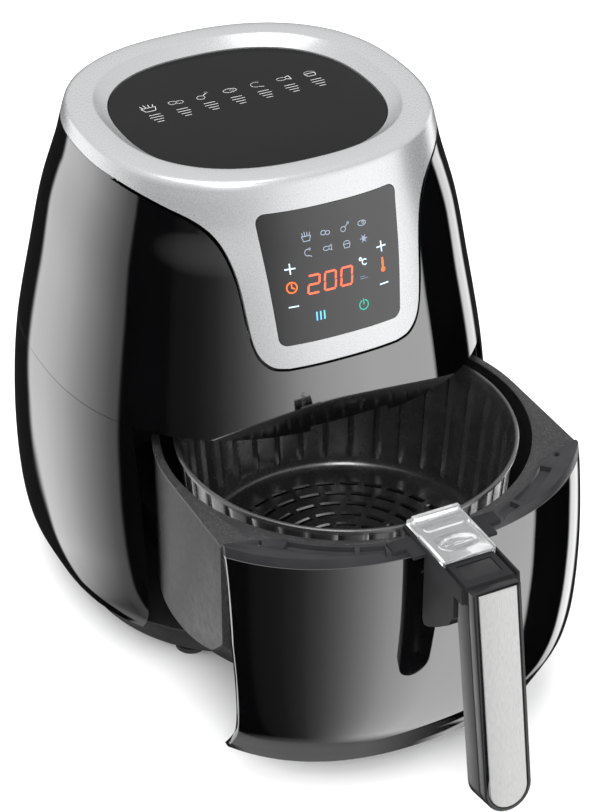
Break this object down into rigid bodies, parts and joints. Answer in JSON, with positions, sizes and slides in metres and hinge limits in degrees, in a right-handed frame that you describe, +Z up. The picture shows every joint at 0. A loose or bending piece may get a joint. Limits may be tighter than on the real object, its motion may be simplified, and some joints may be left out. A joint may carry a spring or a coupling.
{
  "type": "deep fryer",
  "caption": "Countertop hot-air deep fryer with a pull-out pan, a lift-out slotted basket on a guarded release handle, and a touch panel.",
  "frame": {"origin": "centre of the base plate's flat underside, 4 mm above the surface that the feet stand on", "axes": "+Z up, -Y towards the front (the drawer pulls out along -Y), +X to the right seen from the front"},
  "size_m": [0.2924, 0.4862, 0.334],
  "materials": {
    "gloss_black": "high-gloss piano black moulded plastic",
    "silver_trim": "satin silver metallic lacquer on plastic",
    "control_glass": "smooth glossy black lens with faint printed symbols",
    "dark_grey_plastic": "fine satin texture",
    "matte_black": "fine moulded texture",
    "non_stick": "speckled non-stick coating on pressed steel",
    "steel": "brushed",
    "rubber": "matt",
    "clear_plastic": "clear polished polycarbonate",
    "circuit_board": "solder mask",
    "copper": "plain"
  },
  "bodies": {
    "housing": {"top_bezel": "silver_trim", "control_lens": "control_glass", "top_panel": "control_glass", "upper_shell": "gloss_black", "rear_vent": "matte_black", "lower_shell": "gloss_black", "drawer_bay": "matte_black", "guide_rail_left": "matte_black", "guide_rail_right": "matte_black", "base_plate": "matte_black", "foot_front_left": "rubber", "foot_front_right": "rubber", "foot_rear_left": "rubber", "foot_rear_right": "rubber", "cord_gland": "rubber", "chamber_liner": "steel", "heater_guard": "steel", "heating_element": "matte_black", "heater_reflector": "steel", "fan_motor": "steel", "motor_bracket": "steel", "temperature_sensor": "copper", "thermal_fuse": "copper", "power_board": "circuit_board", "control_board": "circuit_board", "display_module": "matte_black", "switch_case": "matte_black"},
    "rotor": {"motor_shaft": "steel", "convection_fan": "steel", "cooling_fan": "matte_black"},
    "plunger": {"switch_plunger": "silver_trim"},
    "drawer": {"pan": "non_stick", "drawer_fascia": "gloss_black", "fascia_bracket": "dark_grey_plastic", "bracket_screw_left": "steel", "bracket_screw_right": "steel"},
    "basket": {"basket": "non_stick", "basket_hook": "steel", "handle_bridge": "dark_grey_plastic", "handle_grip": "matte_black", "grip_frame": "matte_black", "grip_insert": "steel", "grip_screw_upper": "steel", "grip_screw_lower": "steel", "button_spring": "steel"},
    "button": {"release_button": "matte_black"},
    "guard": {"button_guard": "clear_plastic"}
  },
  "joints": [
    {"name": "drawer_slide", "type": "slide", "parent": "housing", "child": "drawer", "axis": [0, -1, 0], "range_m": [-0.116, 0.094]},
    {"name": "basket_lift", "type": "slide", "parent": "drawer", "child": "basket", "axis": [0, 0, 1], "range_m": [0, 0.007]},
    {"name": "release_press", "type": "slide", "parent": "basket", "child": "button", "axis": [0, 0, -1], "range_m": [0, 0.0022], "stiffness_N_per_m": 400, "springref_m": -0.002, "deforming": ["button_spring"]},
    {"name": "guard_slide", "type": "slide", "parent": "basket", "child": "guard", "axis": [0, -1, 0], "range_m": [0, 0.02]},
    {"name": "fan_spin", "type": "hinge", "parent": "housing", "child": "rotor", "pos_m": [0, -0.018, 0.25], "axis": [0, 0, 1], "continuous": true},
    {"name": "switch_press", "type": "slide", "parent": "housing", "child": "plunger", "axis": [0, 1, 0], "range_m": [0, 0.0012], "stiffness_N_per_m": 300, "springref_m": -0.001}
  ]
}
